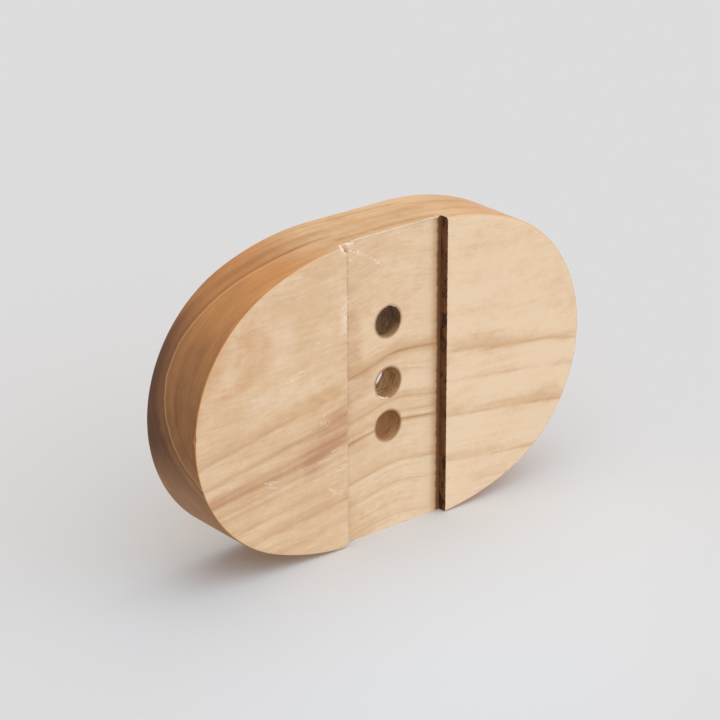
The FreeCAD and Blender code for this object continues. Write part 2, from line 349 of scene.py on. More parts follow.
def carve_dish():
    """The dish as one closed mesh, with its finishes and its broken places."""
    dish = Carving()
    columns, corners = outline_columns()
    rows, floor_row = wall_profile()

    # Outer wall, open below the channel's floor at both ends of the channel.
    wall = []
    for x, y, out_x, out_y in columns:
        over_channel = CHANNEL_LEFT + 1e-6 < x < CHANNEL_RIGHT - 1e-6
        column = []
        for row, (inset, z) in enumerate(rows):
            if over_channel and row < floor_row:
                column.append(None)
            else:
                column.append(dish.point(x - inset * out_x, y - inset * out_y, z))
        wall.append(column)
    for i, column in enumerate(wall):
        dish.strip(column, wall[(i + 1) % len(wall)], EDGE)

    # Channel walls, one at each edge of the pads.
    near_left, near_right, far_right, far_left = corners
    channel_walls = []
    for x, near, far, away in (
        (CHANNEL_LEFT, near_left, far_left, -1),
        (CHANNEL_RIGHT, near_right, far_right, 1),
    ):
        low = dish.points[wall[near][floor_row]][1]
        high = dish.points[wall[far][floor_row]][1]
        run = [wall[near][:floor_row + 1]]
        for y in spaced(low, high, WALL_STEP)[1:]:
            column = []
            for row in range(floor_row + 1):
                z = rows[row][1]
                worn = WORN_EDGE * max(0.0, 1 - z / WORN_EDGE) * (0.7 + 0.6 * flutter(x, y, 0.0, 0.8))
                rough = WALL_ROUGH * flutter(x, y, z, 0.7)
                column.append(dish.point(x + away * (worn + abs(rough)), y, z))
            run.append(column)
        run.append(wall[far][:floor_row + 1])
        for first, second in zip(run, run[1:]):
            # The foot of the left wall, which faces the light, is finished pale: torn wear with a painted
            # highlight; the right wall's, facing away, keeps the dark wall finish.
            dish.strip(first[:WORN_ROWS + 1], second[:WORN_ROWS + 1], TORN if away < 0 else WALL)
            dish.strip(first[WORN_ROWS:], second[WORN_ROWS:], WALL)
        channel_walls.append(run)
    left_wall, right_wall = channel_walls

    # Drain bores, with the drill's faint spiral, up to the bowl.
    bores = []
    for centre_x, centre_y in DRAINS:
        bore = []
        for step in range(BORE_STEPS):
            angle = 2 * math.pi * step / BORE_STEPS
            across, along = math.cos(angle), math.sin(angle)
            x, y = centre_x + DRAIN_RADIUS * across, centre_y + DRAIN_RADIUS * along
            top = bowl_height(x, y)
            column = []
            for row in range(BORE_ROWS + 1):
                z = CHANNEL_DEPTH + (top - CHANNEL_DEPTH) * row / BORE_ROWS
                spiral = DRILL_RIDGE * (1 + math.sin(angle + 2 * math.pi * z / DRILL_PITCH))
                ragged = BORE_RAGGED * abs(flutter(x, y, z, 1.1))
                radius = DRAIN_RADIUS + ragged + (spiral if 0 < row < BORE_ROWS else 0.0)
                column.append(dish.point(centre_x + radius * across, centre_y + radius * along, z))
            bore.append(column)
        for i, column in enumerate(bore):
            dish.strip(column, bore[(i + 1) % len(bore)], BORE)
        bores.append(bore)

    # Resting pads.
    right_loop = row_of(wall[near_right:far_right + 1] + right_wall[-2:0:-1], 0)
    left_loop = row_of(wall[far_left:] + wall[:near_left + 1] + left_wall[1:-1], 0)
    reach = DISH_LENGTH / 2
    for loop, low_x, high_x in (
        (left_loop, -reach, CHANNEL_LEFT - FACE_STEP / 2),
        (right_loop, CHANNEL_RIGHT + FACE_STEP / 2, reach),
    ):
        inner = even_points(
            (low_x, -HALF_WIDTH), (high_x, HALF_WIDTH), FACE_STEP,
            lambda x, y: edge_room(x, y) > EDGE_EASE + FACE_STEP / 2,
        )
        dish.fill([loop], inner, lambda x, y: 0.0, FACE)

    # Channel floor with the drains' mouths.
    floor_columns = wall[near_left:near_right + 1] + right_wall[1:-1]
    floor_columns += wall[far_right:far_left + 1] + left_wall[-2:0:-1]

    def clear_of_drains(x, y):
        return all(math.hypot(x - a, y - b) > DRAIN_RADIUS + COLLAR_ROOM for a, b in DRAINS)

    collars = []
    for a, b in DRAINS:
        for radius in [DRAIN_RADIUS + gap for gap in COLLARS]:
            for turn in spaced(0.0, 2 * math.pi, COLLAR_TURN):
                collars.append((a + radius * math.cos(turn), b + radius * math.sin(turn)))

    inner = even_points(
        (CHANNEL_LEFT + FACE_STEP / 2, -HALF_WIDTH), (CHANNEL_RIGHT - FACE_STEP / 2, HALF_WIDTH), FACE_STEP,
        lambda x, y: edge_room(x, y) > FACE_STEP / 2 and clear_of_drains(x, y),
    )
    loops = [row_of(floor_columns, floor_row)] + [row_of(bore, 0) for bore in bores]
    dish.fill(loops, inner + collars, lambda x, y: CHANNEL_DEPTH, CHANNEL)

    # Rim and bowl.
    inner = [p for rise in LIP_RISES for p in contour(DISH_HEIGHT + rise, LIP_STEP)]
    inner += even_points(
        (-reach, -HALF_WIDTH), (reach, HALF_WIDTH), FACE_STEP,
        lambda x, y: edge_room(x, y) > EDGE_EASE + LIP_ROOM
        and abs(bowl_height(x, y) - DISH_HEIGHT) > LIP_ROOM and clear_of_drains(x, y),
    )
    loops = [row_of(columns, -1) for columns in [wall] + bores]
    dish.fill(loops, inner + collars, top_height, BOWL)
    dish.break_away()
    return dish.make("carved_dish")


# Splinters: places on the channel's floor by its broken corner, then stretches of the left pad's edge,
# each with a count and its two ends in y.
FLOOR_SPLINTERS = (
    (-9.6, -37.3), (-8.6, -36.4), (-7.7, -35.8), (-6.1, -34.3), (-4.5, -33.2), (-12.6, -38.6),
)
EDGE_SPLINTERS = ((14, -28.5, -19.5), (8, -38.5, -30.0), (10, -18.0, 30.0))
FIBRE_SEED = 11
BURR_STEP = 0.35


def splinter(fibres, root, tip, width, lift):
    """A thin torn fibre: a closed wedge from a wide root to a fine tip."""
    root, tip = Vector(root), Vector(tip)
    along = (tip - root).normalized()
    side = along.cross(Vector((0, 0, 1))).normalized() * width / 2
    corners = [root - side, root + side, (root * 2 + tip) / 3 + Vector((0, 0, -lift)), tip]
    first, second, ridge, point = [fibres.point(*corner) for corner in corners]
    for face in (
        (first, second, point), (first, ridge, second),
        (first, point, ridge), (second, ridge, point),
    ):
        fibres.face(face, 0)


def tear_fibres():
    """Fibres left standing by the cutter: a burr at the channel's near end, and splinters."""
    fibres = Carving()
    hand = random.Random(FIBRE_SEED)
    floor = CHANNEL_DEPTH
    stations = []
    for x in spaced(CHANNEL_LEFT + 2.6, CHANNEL_RIGHT - 0.6, BURR_STEP):
        edge = side_point(x, -1)[1] + 0.03
        tall = 0.30 + 0.22 * flutter(x, 0.0, 0.0, 1.3) + 0.12 * flutter(x, 3.0, 0.0, 0.4)
        wide = 0.45 + 0.2 * flutter(x, 7.0, 0.0, 0.9)
        rows = ((edge, floor), (edge + 0.05, floor - tall), (edge + wide, floor))
        stations.append([fibres.point(x, y, z) for y, z in rows])
    for first, second in zip(stations, stations[1:]):
        for side in range(3):
            after = (side + 1) % 3
            fibres.face((first[side], second[side], second[after], first[after]), 0)
    fibres.face(tuple(stations[0]), 0)
    fibres.face(tuple(reversed(stations[-1])), 0)

    for x, y in FLOOR_SPLINTERS:
        turn = hand.uniform(-0.5, 0.7)
        long = hand.uniform(1.0, 2.2)
        tip = (x + long * math.cos(turn), y + long * math.sin(turn), floor - hand.uniform(0.1, 0.35))
        splinter(fibres, (x, y, floor), tip, hand.uniform(0.25, 0.5), 0.15)
    for count, low, high in EDGE_SPLINTERS:
        for _ in range(count):
            y = hand.uniform(low, high)
            z = hand.uniform(0.15, 0.7)
            tip = (
                CHANNEL_LEFT + hand.uniform(0.2, 0.75),
                y + hand.uniform(-0.4, 0.9),
                z + hand.uniform(-0.1, 0.3),
            )
            splinter(fibres, (CHANNEL_LEFT - 0.3, y, z), tip, hand.uniform(0.2, 0.55), 0.05)
    return fibres.make("torn_fibres")


def tone(red, green, blue):
    """A colour as the eye sees it, 0 to 255, made linear for the shaders."""
    def linear(value):
        value /= 255
        return value / 12.92 if value <= 0.04045 else ((value + 0.055) / 1.055) ** 2.4
    return (linear(red), linear(green), linear(blue), 1.0)


class Bench:
    """Short words for placing and joining shader nodes in one tree."""

    def __init__(self, tree):
        self.tree = tree

    def node(self, kind, **settings):
        """A new node with its settings."""
        made = self.tree.nodes.new(kind)
        for name, value in settings.items():
            setattr(made, name, value)
        return made

    def feed(self, socket, value):
        """Joins an output to a socket, or sets the socket to a plain value."""
        if isinstance(value, bpy.types.NodeSocket):
            self.tree.links.new(value, socket)
        else:
            socket.default_value = value

    def step(self, kind, *values, **settings):
        """The outputs of a new node, with its inputs fed in their order."""
        made = self.node(kind, **settings)
        for socket, value in zip(made.inputs, values):
            self.feed(socket, value)
        return made.outputs

    def sum(self, operation, first, second=0.0, third=0.0):
        """One step of arithmetic."""
        return self.step("ShaderNodeMath", first, second, third, operation=operation)[0]

    def times(self, first, second):
        """The product of two values."""
        return self.sum("MULTIPLY", first, second)

    def between(self, value, low, high, start=0.0, stop=1.0):
        """Takes low..high smoothly to start..stop."""
        values = (value, low, high, start, stop)
        return self.step("ShaderNodeMapRange", *values, interpolation_type="SMOOTHSTEP")[0]

    def blend(self, share, first, second):
        """The first colour, with that share of the second."""
        made = self.node("ShaderNodeMix", data_type="RGBA")
        colours = [socket for socket in made.inputs if socket.type == "RGBA"]
        self.feed(made.inputs[0], share)
        self.feed(colours[0], first)
        self.feed(colours[1], second)
        return made.outputs[2]

    def vector(self, operation, first, second, output="Vector"):
        """One step of arithmetic with places."""
        return self.step("ShaderNodeVectorMath", first, second, operation=operation)[output]

    def scaled(self, place, factor):
        """A place scaled alike along every way."""
        made = self.node("ShaderNodeVectorMath", operation="SCALE")
        self.feed(made.inputs[0], place)
        self.feed(made.inputs["Scale"], factor)
        return made.outputs[0]

    def place(self):
        """Where a point lies in the dish, in millimetres."""
        return self.scaled(self.node("ShaderNodeTexCoord").outputs["Object"], 1 / MM)

    def parts(self, vector):
        """The three parts of a place or a colour."""
        return self.step("ShaderNodeSeparateXYZ", vector)

    def joined(self, x, y, z):
        """A place from its three parts."""
        return self.step("ShaderNodeCombineXYZ", x, y, z)[0]

    def cloud(self, place, per_mm, detail=3.0, roughness=0.5, colour=False):
        """Soft unevenness, 0 to 1, whose size along each way is set by per_mm."""
        made = self.node("ShaderNodeTexNoise")
        self.feed(made.inputs["Vector"], self.vector("MULTIPLY", place, per_mm))
        made.inputs["Scale"].default_value = 1.0
        made.inputs["Detail"].default_value = detail
        made.inputs["Roughness"].default_value = roughness
        return made.outputs["Color" if colour else "Fac"]

    def ramp(self, value, stops, way="LINEAR"):
        """A run of greys, each stop with its position and its grey."""
        made = self.node("ShaderNodeValToRGB")
        run = made.color_ramp
        run.interpolation = way
        for i, (position, grey) in enumerate(stops):
            stop = run.elements[i] if i < 2 else run.elements.new(position)
            stop.position = position
            stop.color = (grey, grey, grey, 1.0)
        self.feed(made.inputs[0], value)
        return made.outputs[0]

    def effect(self, group, **values):
        """Places a shared effect with this material's own values."""
        made = self.node("ShaderNodeGroup", node_tree=group)
        for name, value in values.items():
            self.feed(made.inputs[name], value)
        return made.outputs


def new_effect(name, wants, gives):
    """An empty shared effect with named inputs, outputs and a bench to build it on."""
    tree = bpy.data.node_groups.new(name, "ShaderNodeTree")
    for label, value in wants.items():
        kind = "NodeSocketFloat"
        if isinstance(value, tuple):
            kind = "NodeSocketColor" if len(value) == 4 else "NodeSocketVector"
        socket = tree.interface.new_socket(name=label, in_out="INPUT", socket_type=kind)
        socket.default_value = value
    for label in gives:
        kind = "NodeSocketColor" if label == "Colour" else "NodeSocketFloat"
        tree.interface.new_socket(name=label, in_out="OUTPUT", socket_type=kind)
    bench = Bench(tree)
    return tree, bench, bench.node("NodeGroupInput").outputs, bench.node("NodeGroupOutput").inputs


# The tree's heart runs in front of the underside, nearly along the dish, and bends a little.
PITH_ACROSS = (-23.1, 1.0, 2.2)
PITH_DEPTH = (-34.1, -1.9, 2.0)
PITH_SPAN = 50.0
CURL_PLACE = 2.0
CURL_WIDTH = 14.0
CURL_HEIGHT = 3.6
RING_START = 28.0
RING_SPAN = 62.0
# Growth rings: the radius of each dark edge, the width of its build-up,
# and its strength in the left end, the middle and the right end.
GROWTH = (
    (36.0, 4.0, 0.00, 0.30, 0.05),
    (39.8, 2.6, 0.40, 0.00, 0.48),
    (41.4, 1.8, 0.00, 0.85, 0.00),
    (44.4, 1.8, 0.40, 0.20, 0.36),
    (48.6, 4.0, 0.90, 0.40, 0.00),
    (51.2, 3.5, 0.30, 0.30, 0.75),
    (52.8, 1.6, 0.30, 0.85, 0.00),
    (57.2, 2.5, 0.30, 0.00, 0.10),
    (61.3, 4.0, 0.30, 0.80, 0.40),
    (66.5, 2.5, 0.22, 0.25, 0.22),
    (74.0, 4.0, 0.18, 0.25, 0.22),
    (82.0, 5.0, 0.20, 0.25, 0.30),
)
PALE_RING = 43.6
# How steeply the rings' shade and lines rise and fall, and how far the grain strays, in millimetres.
SHADE_FALL = 0.9
LINE_RISE = 0.4
LINE_FALL = 0.2
PARTS_BLEND = 4.0
SHADE_START = 0.5
SHADE_GAP = 1.0
RIPPLE = 0.9
FIBRE_WANDER = 4.0
# Where, along the dish, the pale ring ends, and where the wood turns from pink to tan.
PALE_END = (-26, -12)
PINK_TO_TAN = (-30, 25)
LEFT, MIDDLE, RIGHT = range(3)


def ring_spot(radius):
    """Where a radius lies on the rings' ramps, 0 to 1."""
    return (radius - RING_START) / RING_SPAN


def ring_stops(part):
    """Stops for the shade that builds up to each dark edge, and for the thin edge itself."""
    shade, line = [(0.0, 0.0)], [(0.0, 0.0)]
    last = RING_START + SHADE_START
    for edge, build_up, *strengths in GROWTH:
        strength = strengths[part]
        if strength:
            top = (ring_spot(edge), strength)
            start = max(last, edge - build_up)
            shade += [(ring_spot(start), 0.0), top, (ring_spot(edge + SHADE_FALL), 0.0)]
            line += [(ring_spot(edge - LINE_RISE), 0.0), top, (ring_spot(edge + LINE_FALL), 0.0)]
            last = edge + SHADE_GAP
    return shade, line


def curl(bench, x):
    """How far the grain bends aside where it runs round the middle of the channel."""
    swing = bench.sum("DIVIDE", bench.sum("SUBTRACT", x, CURL_PLACE), CURL_WIDTH)
    return bench.sum("DIVIDE", CURL_HEIGHT, bench.sum("MULTIPLY_ADD", swing, swing, 1.0))


def growth_rings():
    """Yearly rings round the tree's heart, cut through by every face alike."""
    tree, bench, wants, gives = new_effect(
        "growth rings", {"Waver": 2.0}, ("Shade", "Line", "Pale", "Dark", "Late", "Fine", "Side"),
    )
    place = bench.place()
    slow = bench.parts(bench.cloud(place, (0.014, 0.05, 0.05), 2.0, colour=True))
    quick = bench.parts(bench.cloud(place, (0.05, 0.45, 0.45), 3.0, colour=True))
    x, y, z = bench.parts(place)
    span = bench.sum("DIVIDE", x, PITH_SPAN)

    def from_heart(along, waver, ripple, bend):
        level, tilt, bow = bend
        heart = bench.sum("MULTIPLY_ADD", span, bow, tilt)
        heart = bench.sum("MULTIPLY_ADD", heart, span, level)
        away = bench.sum("SUBTRACT", along, heart)
        drift = bench.times(bench.sum("SUBTRACT", waver, 0.5), wants["Waver"])
        away = bench.sum("ADD", away, drift)
        return bench.sum("MULTIPLY_ADD", bench.sum("SUBTRACT", ripple, 0.5), RIPPLE, away)

    across = from_heart(y, slow[0], quick[0], PITH_ACROSS)
    deep = from_heart(z, slow[1], quick[1], PITH_DEPTH)
    across = bench.sum("ADD", across, curl(bench, x))
    radius = bench.sum("SQRT", bench.sum("MULTIPLY_ADD", across, across, bench.times(deep, deep)))
    share = bench.sum("DIVIDE", bench.sum("SUBTRACT", radius, RING_START), RING_SPAN)

    to_middle = bench.between(x, CHANNEL_LEFT - PARTS_BLEND, CHANNEL_LEFT + PARTS_BLEND)
    to_right = bench.between(x, CHANNEL_RIGHT - PARTS_BLEND, CHANNEL_RIGHT + PARTS_BLEND)
    parts = [ring_stops(part) for part in (LEFT, MIDDLE, RIGHT)]
    for name, stops in zip(("Shade", "Line"), zip(*parts)):
        left, middle, right = [bench.ramp(share, run, "EASE") for run in stops]
        mixed = bench.blend(to_right, bench.blend(to_middle, left, middle), right)
        bench.feed(gives[name], mixed)
    in_left = bench.between(x, *PALE_END, 1.0, 0.0)
    for name, rise, peak, fall in (("Pale", -0.3, 0.0, 0.2), ("Dark", 0.1, 0.6, 2.4)):
        spots = [ring_spot(PALE_RING + step) for step in (rise, peak, fall)]
        seam = bench.ramp(share, [(0.0, 0.0), *zip(spots, (0.0, 1.0, 0.0))])
        bench.feed(gives[name], bench.times(seam, in_left))
    bench.feed(gives["Late"], bench.between(radius, PALE_RING, PALE_RING + 6))
    laid = bench.joined(bench.times(x, 0.02), radius, bench.times(y, 0.04))
    bench.feed(gives["Fine"], bench.cloud(laid, (1.0, 1.1, 1.0), 4.0, 0.6))
    bench.feed(gives["Side"], bench.between(x, *PINK_TO_TAN))
    return tree


def wood_fibre():
    """Fine streaks and open pores along the tree, dots where the wood is cut across."""
    tree, bench, wants, gives = new_effect(
        "wood fibre", {"Pore size": 1.0}, ("Streak", "Pore", "Hair", "Height"),
    )
    place = bench.place()
    wander = bench.parts(bench.cloud(place, (0.02, 0.06, 0.06), 1.0, colour=True))
    x, y, z = bench.parts(place)
    y = bench.sum("MULTIPLY_ADD", wander[0], FIBRE_WANDER, bench.sum("ADD", y, curl(bench, x)))
    z = bench.sum("MULTIPLY_ADD", wander[1], FIBRE_WANDER, z)
    laid = bench.joined(x, y, z)
    streak = bench.cloud(laid, (0.025, 0.9, 0.9), 5.0, 0.6)
    pores = bench.cloud(laid, (0.16, 3.2, 3.2), 2.0, 0.5)
    finest = bench.sum("SUBTRACT", 0.70, bench.times(wants["Pore size"], 0.06))
    pores = bench.between(pores, finest, 0.72)
    fine = bench.cloud(laid, (0.12, 5.0, 5.0), 3.0, 0.6)
    bench.feed(gives["Streak"], bench.between(streak, 0.25, 0.75))
    bench.feed(gives["Pore"], pores)
    bench.feed(gives["Hair"], bench.cloud(laid, (0.3, 2.6, 2.6), 4.0, 0.7))
    bench.feed(gives["Height"], bench.sum("MULTIPLY_ADD", pores, -0.8, fine))
    return tree


def sanding_marks():
    """Faint scratches across the grain, left by the last sanding."""
    tree, bench, _, gives = new_effect("sanding marks", {}, ("Mark",))
    place = bench.place()
    lines = bench.cloud(place, (1.9, 0.09, 0.4), 4.0, 0.75)
    patches = bench.cloud(place, (0.09, 0.07, 0.07), 3.0)
    worn = bench.times(bench.between(lines, 0.45, 0.75), bench.between(patches, 0.35, 0.65))
    bench.feed(gives["Mark"], worn)
    return tree


def cut_across():
    """How far a surface faces along the tree, where the ends of the fibres show, and to which side."""
    tree, bench, _, gives = new_effect("cut across", {}, ("Share", "Left", "Far"))
    facing = bench.parts(bench.node("ShaderNodeTexCoord").outputs["Normal"])
    bench.feed(gives["Share"], bench.sum("ABSOLUTE", facing[0]))
    bench.feed(gives["Left"], bench.between(facing[0], -0.05, 0.05, 1.0, 0.0))
    bench.feed(gives["Far"], facing[1])
    return tree


def grained_wood():
    """The wood's own colour: rings, thin dark edges, streaks, clouds and pores."""
    tree, bench, wants, gives = new_effect(
        "grained wood",
        {
            "Pale": tone(232, 205, 173), "Mid": tone(214, 178, 139),
            "Pink": tone(184, 136, 103), "Tan": tone(196, 149, 98), "Edge": tone(160, 110, 70),
            "Base": 0.04, "Rings": 0.55, "Edges": 0.6, "Streaks": 0.5, "Pores": 0.15,
        },
        ("Colour", "Height", "Gloss"),
    )
    rings = bench.effect(RINGS)
    fibre = bench.effect(FIBRE)
    place = bench.place()
    patches = bench.cloud(place, (0.03, 0.10, 0.10), 2.0)
    clouds = bench.cloud(place, (0.045, 0.09, 0.09), 4.0, 0.6)
    mottle = bench.cloud(place, (0.35, 0.5, 0.5), 4.0, 0.65)
    strength = bench.times(wants["Rings"], bench.between(patches, 0.3, 0.7, 0.65, 1.15))
    dark = bench.sum("MULTIPLY_ADD", rings["Shade"], strength, wants["Base"])
    dark = bench.sum("ADD", dark, bench.between(rings["Side"], 0.0, 1.0, 0.30, 0.04))
    for part, weight in (
        (fibre["Streak"], 0.25), (fibre["Hair"], 0.6), (rings["Fine"], 0.65), (clouds, 1.5), (mottle, 0.75),
    ):
        swing = bench.times(bench.sum("SUBTRACT", part, 0.5), wants["Streaks"])
        dark = bench.sum("MULTIPLY_ADD", swing, weight, dark)
    deepest = bench.blend(rings["Side"], wants["Pink"], wants["Tan"])
    colour = bench.blend(bench.between(dark, 0.0, 0.55), wants["Pale"], wants["Mid"])
    colour = bench.blend(bench.between(dark, 0.4, 1.15), colour, deepest)
    edge = bench.times(rings["Line"], bench.between(patches, 0.4, 0.62, 0.15, 1.0))
    colour = bench.blend(bench.times(edge, wants["Edges"]), colour, wants["Edge"])
    light = bench.times(rings["Pale"], bench.between(clouds, 0.3, 0.6, 0.15, 0.5))
    colour = bench.blend(light, colour, wants["Pale"])
    colour = bench.blend(bench.times(fibre["Pore"], wants["Pores"]), colour, wants["Edge"])
    bench.feed(gives["Colour"], colour)
    bench.feed(gives["Height"], bench.sum("MULTIPLY_ADD", rings["Fine"], 0.4, fibre["Height"]))
    streaky = bench.times(fibre["Streak"], 0.5)
    bench.feed(gives["Gloss"], bench.sum("MULTIPLY_ADD", clouds, 0.5, streaky))
    return tree


class Finish(Bench):
    """A wood material while it is made, with its shader and its grain."""

    def __init__(self, name, **values):
        self.wood = bpy.data.materials.new(name)
        self.wood.use_nodes = True
        super().__init__(self.wood.node_tree)
        self.shader = self.tree.nodes["Principled BSDF"]
        self.shader.inputs["Specular IOR Level"].default_value = 0.28
        self.grain = self.effect(GRAIN, **values)

    def done(self, colour, depth, smooth, rough, height=None):
        """Joins the colour, a roughness that follows the grain and a bump of that depth in millimetres."""
        sockets = self.shader.inputs
        self.feed(sockets["Base Color"], colour)
        self.feed(sockets["Roughness"], self.between(self.grain["Gloss"], 0.2, 0.8, smooth, rough))
        bump = self.node("ShaderNodeBump")
        bump.inputs["Strength"].default_value = 1.0
        bump.inputs["Distance"].default_value = depth * MM
        self.feed(bump.inputs["Height"], self.grain["Height"] if height is None else height)
        self.feed(sockets["Normal"], bump.outputs[0])
        return self.wood


# Marks on the wood: each runs from (x, y) to (x, y) in millimetres, with its width and, where it is
# fainter than full, its strength. First the light scuffs on the left pad.
SCUFFS = (
    (-34.5, -9.8, -31.2, -10.5, 0.35), (-32.6, -9.9, -28.8, -10.6, 0.3), (-31.5, -11.3, -29.2, -11.5, 0.3),
    (-24.3, 4.1, -23.0, 1.7, 0.35), (-22.9, 5.4, -21.2, 4.2, 0.3), (-23.6, 5.0, -22.8, 3.4, 0.3),
    (-42.1, 15.0, -39.6, 16.2, 0.4), (-41.0, 16.6, -38.4, 17.4, 0.35), (-40.6, 15.2, -37.2, 16.0, 0.3),
    (-21.9, 22.6, -18.1, 25.2, 0.4), (-20.8, 24.6, -17.6, 24.2, 0.3), (-20.9, 12.7, -18.0, 12.2, 0.3),
    (-25.4, 14.4, -21.5, 14.5, 0.3), (-19.6, 18.6, -17.0, 18.3, 0.3), (-25.4, -18.2, -24.6, -17.7, 0.5),
)
# Pinkish stains on the left pad.
PINK_STAINS = ((-27.0, 12.5, -17.0, 5.5, 7.5), (-56.0, 14.6, -27.0, 13.0, 4.5, 0.55))
# Figure in the near part of the left pad: brown strokes, then pale ones.
BROWN_FIGURE = (
    (-60.0, -10.5, -48.6, -13.1, 3.0, 0.5), (-48.6, -13.1, -41.9, -17.8, 3.6, 0.45),
    (-46.3, -26.3, -41.9, -19.6, 6.0, 0.45), (-50.0, -26.7, -48.6, -23.5, 1.6, 0.35),
    (-48.6, -23.5, -49.7, -18.6, 1.6, 0.35), (-36.1, -0.8, -19.8, -2.5, 4.0, 0.35),
    (-57.0, -24.0, -61.0, -11.0, 8.0, 0.45),
)
PALE_FIGURE = ((-35.7, -23.2, -36.3, -18.1, 6.0, 0.45), (-44.2, -7.0, -34.0, -6.5, 4.0, 0.4))
# Stains on the channel's floor, and scuffs by its broken corner.
CHANNEL_STAINS = ((-17.0, 4.0, -8.0, -2.0, 4.5), (-12.5, -20.0, -11.5, -4.0, 4.5))
CHANNEL_SCUFFS = (
    (-12.8, -38.4, -10.2, -36.8, 0.5), (-10.4, -37.6, -7.8, -35.6, 0.6),
    (-8.4, -36.2, -5.6, -34.4, 0.5), (-6.0, -34.9, -3.6, -33.0, 0.4), (-13.4, -36.4, -11.8, -34.9, 0.4),
)
SCUFF_CORE = 0.2
# The left pad's frayed stretch by the channel: where it starts in x, and its two soft ends in y.
FRAYED_FROM = -18.5
FRAYED_ENDS = ((-32, -26), (-15, -22))
# Painted shade at the foot of the channel's left wall: where it ends in x, and where it thins in y.
FOOT_SHADE_EDGE = (-13.9, -13.2)
FOOT_SHADE_THINS = (-12, 6)
DRAIN_HALO = 0.9
# Scorched edge of the channel's floor, deepened with painted shade from its right wall: start and full, in
# from its right wall, strength and colour.
SCORCH_AND_SHADE = ((4.0, 1.0, 0.6, tone(186, 132, 78)), (1.7, 0.8, 0.95, tone(118, 76, 44)))
# Where, across the dish, the near drain's wall darkened with painted shade and the far drain's pale one
# begin and end.
SHADED_NEAR_DRAIN = (-16, -5)
PALE_DRAIN = (5, 10)


def scuff_mark():
    """One scuff, seen from below: full on its line and gone beyond its width."""
    tree, bench, wants, gives = new_effect(
        "scuff mark",
        {"Start": (0.0, 0.0, 0.0), "Stop": (1.0, 0.0, 0.0), "Width": 1.0, "Strength": 1.0},
        ("Mark",),
    )
    flat = bench.vector("MULTIPLY", bench.place(), (1, 1, 0))
    run = bench.vector("SUBTRACT", wants["Stop"], wants["Start"])
    from_start = bench.vector("SUBTRACT", flat, wants["Start"])
    along = bench.vector("DOT_PRODUCT", from_start, run, "Value")
    along = bench.sum("DIVIDE", along, bench.vector("DOT_PRODUCT", run, run, "Value"))
    along = bench.sum("MINIMUM", bench.sum("MAXIMUM", along, 0.0), 1.0)
    gap = bench.vector("DISTANCE", from_start, bench.scaled(run, along), "Value")
    full = bench.times(wants["Width"], SCUFF_CORE)
    mark = bench.between(gap, full, wants["Width"], 1.0, 0.0)
    bench.feed(gives["Mark"], bench.times(mark, wants["Strength"]))
    return tree


def worn_flecks():
    """Fine unevenness that breaks scuffs up into flecks."""
    tree, bench, _, gives = new_effect("worn flecks", {}, ("Fleck",))
    bench.feed(gives["Fleck"], bench.cloud(bench.place(), (1.1, 2.2, 2.2), 3.0, 0.7))
    return tree


def strongest(bench, marks):
    """The strongest of several marks at each place."""
    most = 0.0
    for start_x, start_y, stop_x, stop_y, *rest in marks:
        values = dict(zip(("Width", "Strength"), rest))
        values["Start"] = (start_x, start_y, 0.0)
        values["Stop"] = (stop_x, stop_y, 0.0)
        most = bench.sum("MAXIMUM", bench.effect(SCUFF, **values)["Mark"], most)
    return most


def sanded_face():
    """The resting pads, with the left pad's figure, stains and scuffs."""
    bench = Finish("sanded_face")
    place = bench.place()
    x, y, _ = bench.parts(place)
    hairs = bench.cloud(place, (0.45, 1.0, 1.0), 4.0, 0.7)
    blotches = bench.between(bench.cloud(place, (0.18, 0.3, 0.3), 4.0, 0.65), 0.35, 0.65, 0.3, 1.3)
    colour = bench.grain["Colour"]
    for figure, paint in ((PALE_FIGURE, tone(233, 208, 181)), (BROWN_FIGURE, tone(204, 153, 109))):
        colour = bench.blend(bench.times(strongest(bench, figure), blotches), colour, paint)
    lines = bench.between(bench.effect(RINGS)["Fine"], 0.35, 0.65, 0.3, 1.0)
    stained = bench.times(strongest(bench, PINK_STAINS), lines)
    colour = bench.blend(stained, colour, tone(186, 138, 103))
    flecks = bench.between(bench.effect(FLECKS)["Fleck"], 0.42, 0.60, 0.0, 0.85)
    worn = bench.times(strongest(bench, SCUFFS), flecks)
    frayed = bench.between(x, FRAYED_FROM, CHANNEL_LEFT)
    for edge, full in FRAYED_ENDS:
        frayed = bench.times(frayed, bench.between(y, edge, full))
    frayed = bench.times(frayed, bench.between(x, CHANNEL_LEFT, 0, 1.0, 0.0))
    frayed = bench.times(frayed, bench.between(hairs, 0.40, 0.56))
    worn = bench.sum("MAXIMUM", worn, frayed)
    colour = bench.blend(bench.times(worn, 0.75), colour, tone(240, 224, 208))
    marks = bench.effect(SANDING)["Mark"]
    colour = bench.blend(bench.times(marks, 0.10), colour, tone(240, 222, 204))
    height = bench.sum("MULTIPLY_ADD", marks, -0.5, bench.grain["Height"])
    return bench.done(colour, 0.02, 0.5, 0.66, height)


